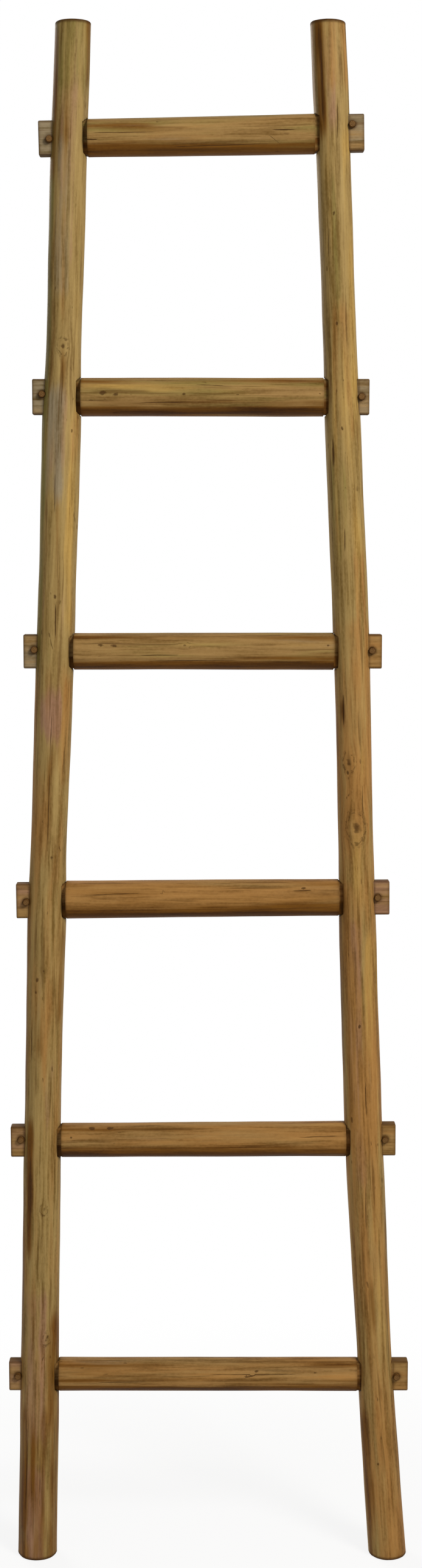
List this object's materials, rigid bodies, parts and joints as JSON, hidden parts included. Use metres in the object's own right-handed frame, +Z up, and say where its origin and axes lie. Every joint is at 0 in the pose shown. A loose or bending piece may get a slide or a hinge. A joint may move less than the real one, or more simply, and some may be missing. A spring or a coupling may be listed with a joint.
{
  "type": "blanket ladder",
  "caption": "Rustic leaning ladder of peeled round poles that narrows towards the top, with pegged through-tenon rungs for hanging blankets and throws.",
  "frame": {"origin": "on the floor under the ladder, at the middle of the bottom of its box", "axes": "+Z up along the standing ladder, +X to the right of someone who faces it, so the front faces -Y and the rungs run along X"},
  "size_m": [0.5146, 0.0506, 1.93],
  "materials": {
    "stile_wood": "matte oil",
    "rung_wood": "matte oil",
    "peg_wood": "matte oil"
  },
  "bodies": {
    "root": {"left_stile": "stile_wood", "right_stile": "stile_wood", "rung_1": "rung_wood", "rung_2": "rung_wood", "rung_3": "rung_wood", "rung_4": "rung_wood", "rung_5": "rung_wood", "rung_6": "rung_wood", "peg_1_left": "peg_wood", "peg_1_right": "peg_wood", "peg_2_left": "peg_wood", "peg_2_right": "peg_wood", "peg_3_left": "peg_wood", "peg_3_right": "peg_wood", "peg_4_left": "peg_wood", "peg_4_right": "peg_wood", "peg_5_left": "peg_wood", "peg_5_right": "peg_wood", "peg_6_left": "peg_wood", "peg_6_right": "peg_wood"}
  },
  "joints": []
}
